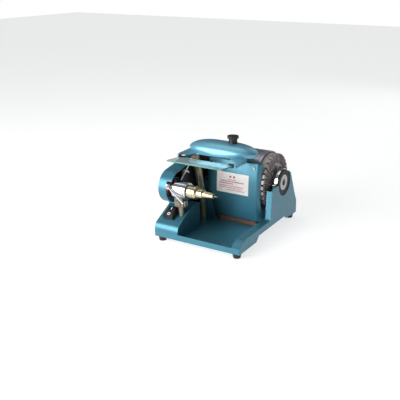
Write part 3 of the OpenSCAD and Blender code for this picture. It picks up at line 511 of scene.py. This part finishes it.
def spindle_head():
    """The turned quill, chuck and nut, and the fittings around them."""
    low, high = low_high("quill_housing")
    y, z = (low[1] + high[1]) / 2, (low[2] + high[2]) / 2
    neck, front = low[0], high[0]
    back = front - QUILL_LENGTH
    turned("quill", "quill_housing", [
        (neck, 8), (neck, NECK_R - 0.6), (neck + 0.6, NECK_R), (back, NECK_R), (back, QUILL_R - 1.4),
        (back + 1.4, QUILL_R), (front - 5.4, QUILL_R), (front - 5.2, QUILL_R - RING_LINE),
        (front - 4.0, QUILL_R - RING_LINE), (front - 3.8, QUILL_R), (front - 1.2, QUILL_R),
        (front, QUILL_R - 1.2), (front, RETAINER_R), (front - RETAINER_DEPTH, RETAINER_R),
        (front - RETAINER_DEPTH, 13), (back + 4, 13), (back + 4, 8),
    ], y, z)
    start = front + RUNNING_GAP
    end = start + CHUCK_LENGTH
    turned("chuck", "chuck_body", [
        (start, CHUCK_SOCKET_R), (start, CHUCK_R - 1.1), (start + 1.2, CHUCK_R), (start + 16.4, CHUCK_R),
        (start + 16.8, CHUCK_R - RING_LINE), (start + 18.2, CHUCK_R - RING_LINE), (start + 18.6, CHUCK_R),
        (end - 4.2, CHUCK_R), (end - 3, CHUCK_R - 0.6), (end - 0.6, 14.2), (end, 13.4),
        (end, ARBOR_BORE_R), (end - CHUCK_SOCKET_FLOOR, ARBOR_BORE_R),
        (end - CHUCK_SOCKET_FLOOR, CHUCK_SOCKET_R),
    ], y, z)
    nut = end + NUT_LENGTH
    turned("nose_nut", "collet_nut", [
        (end, ARBOR_BORE_R), (end, NUT_R - 0.7), (end + 0.8, NUT_R), (end + 5, NUT_R),
        (end + 5.4, NUT_R - 0.7), (end + 6.6, NUT_R - 0.7), (end + 7, NUT_R), (nut - 2.2, NUT_R),
        (nut - 0.9, NUT_R - 0.7), (nut, 10.2), (nut, ARBOR_BORE_R),
    ], y, z)
    for node, width in (
        ("collet", 0.35), ("head_post", 1.2), ("lock_ring", 0.9), ("release_lever", 0.5),
        ("release_paddle", 0.7), ("lever_bracket", 0.5), ("lever_screw", 0.3), ("seal_collar", 0.6),
    ):
        soften(node, width)


# ---- Motor ----
SHELL_WALL = 2.5
BEAD_DEPTH = 0.7
SHELL_STEPS = 144


def motor_outside():
    """The rolled shell with a bead near each end, and the fittings on the bells."""
    low, high = low_high("motor_shell")
    _, y, z = centre("motor_shell")
    a, b, r = low[0], high[0], (high[2] - low[2]) / 2
    turned("motor_shell_rolled", "motor_shell", [
        (a, r - SHELL_WALL), (a, r - 0.8), (a + 0.8, r), (a + 7, r), (a + 7.8, r - BEAD_DEPTH),
        (a + 10, r - BEAD_DEPTH), (a + 10.8, r), (b - 10.8, r), (b - 10, r - BEAD_DEPTH),
        (b - 7.8, r - BEAD_DEPTH), (b - 7, r), (b - 0.8, r), (b, r - 0.8), (b, r - SHELL_WALL),
    ], y, z, SHELL_STEPS)
    for node, width in (
        ("end_bell_right", 0.8), ("end_bell_left", 0.8), ("hub_rings", 1.6), ("clamp_straps", 0.35),
        ("strap_screws", 0.3), ("cover_screws", 0.3),
    ):
        soften(node, width)


BELL_DEPTH = 20


def hub_face():
    """A bright speckled ring fills the right hub's rubber, as a faced bearing cap does."""
    _, y, z = centre("motor_shell")
    end = low_high("hub_rings")[1][0]
    face = from_points("hub_cap", *lathe([
        (end - 2.4, 9), (end - 0.6, 9), (end - 0.4, 10), (end - 0.4, 13), (end - 0.9, 13.4),
        (end - 0.9, 14.6), (end - 0.4, 15), (end - 0.4, 20), (end - 1.0, 20.6), (end - 2.4, 20.6),
    ], y, z, 72))
    piece = link("hub_cap", face, CAST_FACE)
    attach(piece, "frame")


def rib_ring_tree():
    """Boxes set round an X axis, one to each corner of a circle, and turned to face outward."""
    tree = bpy.data.node_groups.new("rib ring", "GeometryNodeTree")
    face = tree.interface
    for name, kind in (
        ("Count", "NodeSocketInt"), ("Mid radius", "NodeSocketFloat"), ("Rib size", "NodeSocketVector"),
        ("Centre", "NodeSocketVector"), ("Finish", "NodeSocketMaterial"),
    ):
        face.new_socket(name, in_out="INPUT", socket_type=kind)
    face.new_socket("Ribs", in_out="OUTPUT", socket_type="NodeSocketGeometry")
    given = add(tree, "NodeGroupInput").outputs
    ring = add(tree, "GeometryNodeMeshCircle", {"Vertices": given["Count"], "Radius": given["Mid radius"]})
    place = add(tree, "GeometryNodeInputPosition").outputs["Position"]
    turn = add(tree, "FunctionNodeAlignRotationToVector", {"Vector": place}, axis="X")
    rib = add(tree, "GeometryNodeMeshCube", {"Size": given["Rib size"]})
    ribs = add(tree, "GeometryNodeInstanceOnPoints", {
        "Points": ring.outputs["Mesh"], "Instance": rib.outputs["Mesh"], "Rotation": turn.outputs["Rotation"],
    })
    upright = add(tree, "GeometryNodeTransform", {
        "Geometry": ribs.outputs["Instances"], "Translation": given["Centre"],
        "Rotation": (0, math.pi / 2, 0),
    })
    real = add(tree, "GeometryNodeRealizeInstances", {"Geometry": upright.outputs["Geometry"]})
    painted = add(tree, "GeometryNodeSetMaterial", {
        "Geometry": real.outputs["Geometry"], "Material": given["Finish"],
    })
    add(tree, "NodeGroupOutput", {"Ribs": painted.outputs["Geometry"]})
    return tree


def grown(name, tree, values, body):
    """Grows a Geometry Nodes tree into a plain mesh piece."""
    seed = bpy.data.objects.new(name + ".seed", bpy.data.meshes.new(name + ".seed"))
    bpy.context.scene.collection.objects.link(seed)
    grower = seed.modifiers.new("grow", "NODES")
    grower.node_group = tree
    for item in tree.interface.items_tree:
        if item.in_out == "INPUT" and item.name in values:
            grower[item.identifier] = values[item.name]
    seen = seed.evaluated_get(bpy.context.evaluated_depsgraph_get())
    mesh = bpy.data.meshes.new_from_object(seen)
    mesh.name = name
    bpy.data.objects.remove(seed)
    piece = link(name, mesh, values["Finish"])
    round_edges(piece, 0.3, 1)
    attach(piece, body)
    return piece


def bell_ribs():
    """Cooling ribs and hub spokes stand on the right bell's face."""
    tree = rib_ring_tree()
    _, y, z = centre("motor_shell")
    face_x = low_high("motor_shell")[1][0] + BELL_DEPTH
    grown("bell_ribs", tree, {
        "Count": 60, "Mid radius": 60 * MM, "Rib size": (20 * MM, 1.5 * MM, 3 * MM),
        "Centre": ((face_x + 1) * MM, y * MM, z * MM), "Finish": ALLOY,
    }, "frame")
    grown("hub_spokes", tree, {
        "Count": 8, "Mid radius": 31 * MM, "Rib size": (22 * MM, 5 * MM, 6 * MM),
        "Centre": ((face_x + 1.5) * MM, y * MM, z * MM), "Finish": ALLOY,
    }, "frame")


# ---- Switch, hood fittings and feet ----
SWITCH_SLOPE = 27
ROCKER_HALF_THROW = 9
MARK_LIFT = 5.6
MARK_HEIGHT = 0.5
RING_STEPS = 28


def switch_marks():
    """The moulded marks for on and off, proud of the rocker's face."""
    slope = math.radians(SWITCH_SLOPE + ROCKER_HALF_THROW)
    low, high = low_high("switch_rocker")
    mid = Vector(((low[0] + high[0]) / 2, (low[1] + high[1]) / 2, (low[2] + high[2]) / 2))
    tilt = Matrix.Rotation(slope, 3, "X")
    points, faces = [], []

    def place(x, y, z):
        points.append(tuple(mid + tilt @ Vector((x, y, z + MARK_LIFT))))

    for corner in box_points((-0.9, 4.5, 0), (0.9, 11.0, MARK_HEIGHT)):
        place(*corner)
    faces += BOX_FACES
    start = len(points)
    for i in range(RING_STEPS):
        a = 2 * math.pi * i / RING_STEPS
        for r, h in ((2.3, MARK_HEIGHT), (3.9, MARK_HEIGHT), (3.9, 0), (2.3, 0)):
            place(r * math.cos(a), -8.0 + r * math.sin(a), h)
        for j in range(4):
            b, c = start + i * 4, start + ((i + 1) % RING_STEPS) * 4
            faces.append((b + j, b + (j + 1) % 4, c + (j + 1) % 4, c + j))
    piece = link("switch_marks", from_points("switch_marks", points, faces), WHITE_INK)
    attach(piece, "rocker")


def shield():
    """Float glass with ground edges: clear faces, and a green edge all round."""
    mesh = merged_copy("shield_glass", PANE_FLATNESS)
    mesh.materials.append(GLASS)
    mesh.materials.append(GLASS_EDGE)
    for face in mesh.polygons:
        face.material_index = 0 if abs(face.normal.z) > 0.7 else 1
    piece = link("shield_pane", mesh, GLASS)
    round_edges(piece, 0.4)
    piece.modifiers[0].material = 1
    settle(piece, "clear_glass", "shield", "shield_glass")


def fittings():
    """The smaller fittings keep the CAD form with softened edges."""
    for node, width in (
        ("switch_body", 2.4), ("switch_rocker", 1.2), ("hood_knob", 0.9), ("shield_clips", 0.7),
        ("foot_front_left", 1.4), ("foot_front_right", 1.4), ("foot_rear_left", 1.4),
        ("foot_rear_right", 1.4),
        ("power_inlet", 0.6), ("packing_strip", 0.6), ("hood_column", 0.8), ("lamp_holders", 0.6),
    ):
        soften(node, width)


# ---- Camera, lights and floor ----
CAMERA_AZIMUTH = 29.6
CAMERA_ELEVATION = 19.8
CAMERA_DISTANCE = 1.6288
CAMERA_TARGET = Vector((0, 0, 0.096))
CAMERA_LENS = 56.84
CAMERA_SHIFT = (-0.0725, -0.01725)


def camera_and_lights():
    """A long lens from the front right, under a large key light from the front left."""
    scene = bpy.context.scene
    scene.view_settings.view_transform = "Standard"
    data = bpy.data.cameras.new("camera")
    data.lens = CAMERA_LENS
    data.sensor_width = 36
    data.shift_x, data.shift_y = CAMERA_SHIFT
    data.clip_start = 0.05
    camera = bpy.data.objects.new("camera", data)
    azimuth, elevation = math.radians(CAMERA_AZIMUTH), math.radians(CAMERA_ELEVATION)
    back = Vector((
        math.sin(azimuth) * math.cos(elevation),
        -math.cos(azimuth) * math.cos(elevation),
        math.sin(elevation),
    ))
    camera.location = CAMERA_TARGET + back * CAMERA_DISTANCE
    camera.rotation_euler = (-back).to_track_quat("-Z", "Y").to_euler()
    scene.collection.objects.link(camera)
    scene.camera = camera
    for name, place, size, power in (
        ("front key", (-1.0, -1.7, 0.65), 1.7, 68),
        ("top softbox", (-0.4, 0.2, 1.6), 1.0, 4),
        ("right fill", (1.9, -0.7, 0.7), 1.4, 1),
        ("back fill", (0.3, 1.8, 1.0), 1.4, 5),
    ):
        light = bpy.data.lights.new(name, "AREA")
        light.size = size
        light.energy = power
        lamp = bpy.data.objects.new(name, light)
        lamp.location = place
        lamp.rotation_euler = (Vector((0, 0, 0.1)) - Vector(place)).to_track_quat("-Z", "Y").to_euler()
        scene.collection.objects.link(lamp)


def surroundings():
    """A white studio that the eye sees, while gloss surfaces mirror a room darker to the sides."""
    world = bpy.data.worlds.new("studio")
    world.use_nodes = True
    tree = world.node_tree
    direction = add(tree, "ShaderNodeTexCoord").outputs["Generated"]
    split = add(tree, "ShaderNodeSeparateXYZ", {"Vector": direction})
    room = ramp(
        tree, add(tree, "ShaderNodeMapRange", {
            "Value": split.outputs["Z"], "From Min": -0.2, "From Max": 1.0,
        }).outputs["Result"],
        (0.0, "b8bcbe"), (0.2, "8a8f92"), (0.45, "55595c"), (0.8, "9a9fa2"), (1.0, "c8cccf"),
    )
    lit = add(tree, "ShaderNodeBackground", {"Color": room, "Strength": 0.62})
    seen = add(tree, "ShaderNodeBackground", {"Color": (1, 1, 1, 1), "Strength": 1.0})
    sight = add(tree, "ShaderNodeLightPath").outputs["Is Camera Ray"]
    mixed = add(tree, "ShaderNodeMixShader", {0: sight, 1: lit.outputs[0], 2: seen.outputs[0]})
    tree.links.new(mixed.outputs[0], tree.nodes["World Output"].inputs["Surface"])
    bpy.context.scene.world = world


def floor():
    """A pale studio floor under the machine."""
    bpy.ops.mesh.primitive_plane_add(size=12, location=(0, 0, 0))
    plane = bpy.context.object
    plane.name = "floor"
    made, tree, shader, coords = surface("pale studio floor", Roughness=0.9, Emission_Strength=0.72)
    shader.inputs["Emission Color"].default_value = (1, 1, 1, 1)
    tree.links.new(
        ramp(tree, noise(tree, coords, 300), (0.3, "b0b0b0"), (0.7, "b4b4b4")), shader.inputs["Base Color"])
    plane.data.materials.append(made)


camera_and_lights()
surroundings()
floor()
finish_cad_nodes()
painted_castings()
splash_cover()
label_print()
spindle_head()
motor_outside()
hub_face()
bell_ribs()
switch_marks()
shield()
fittings()
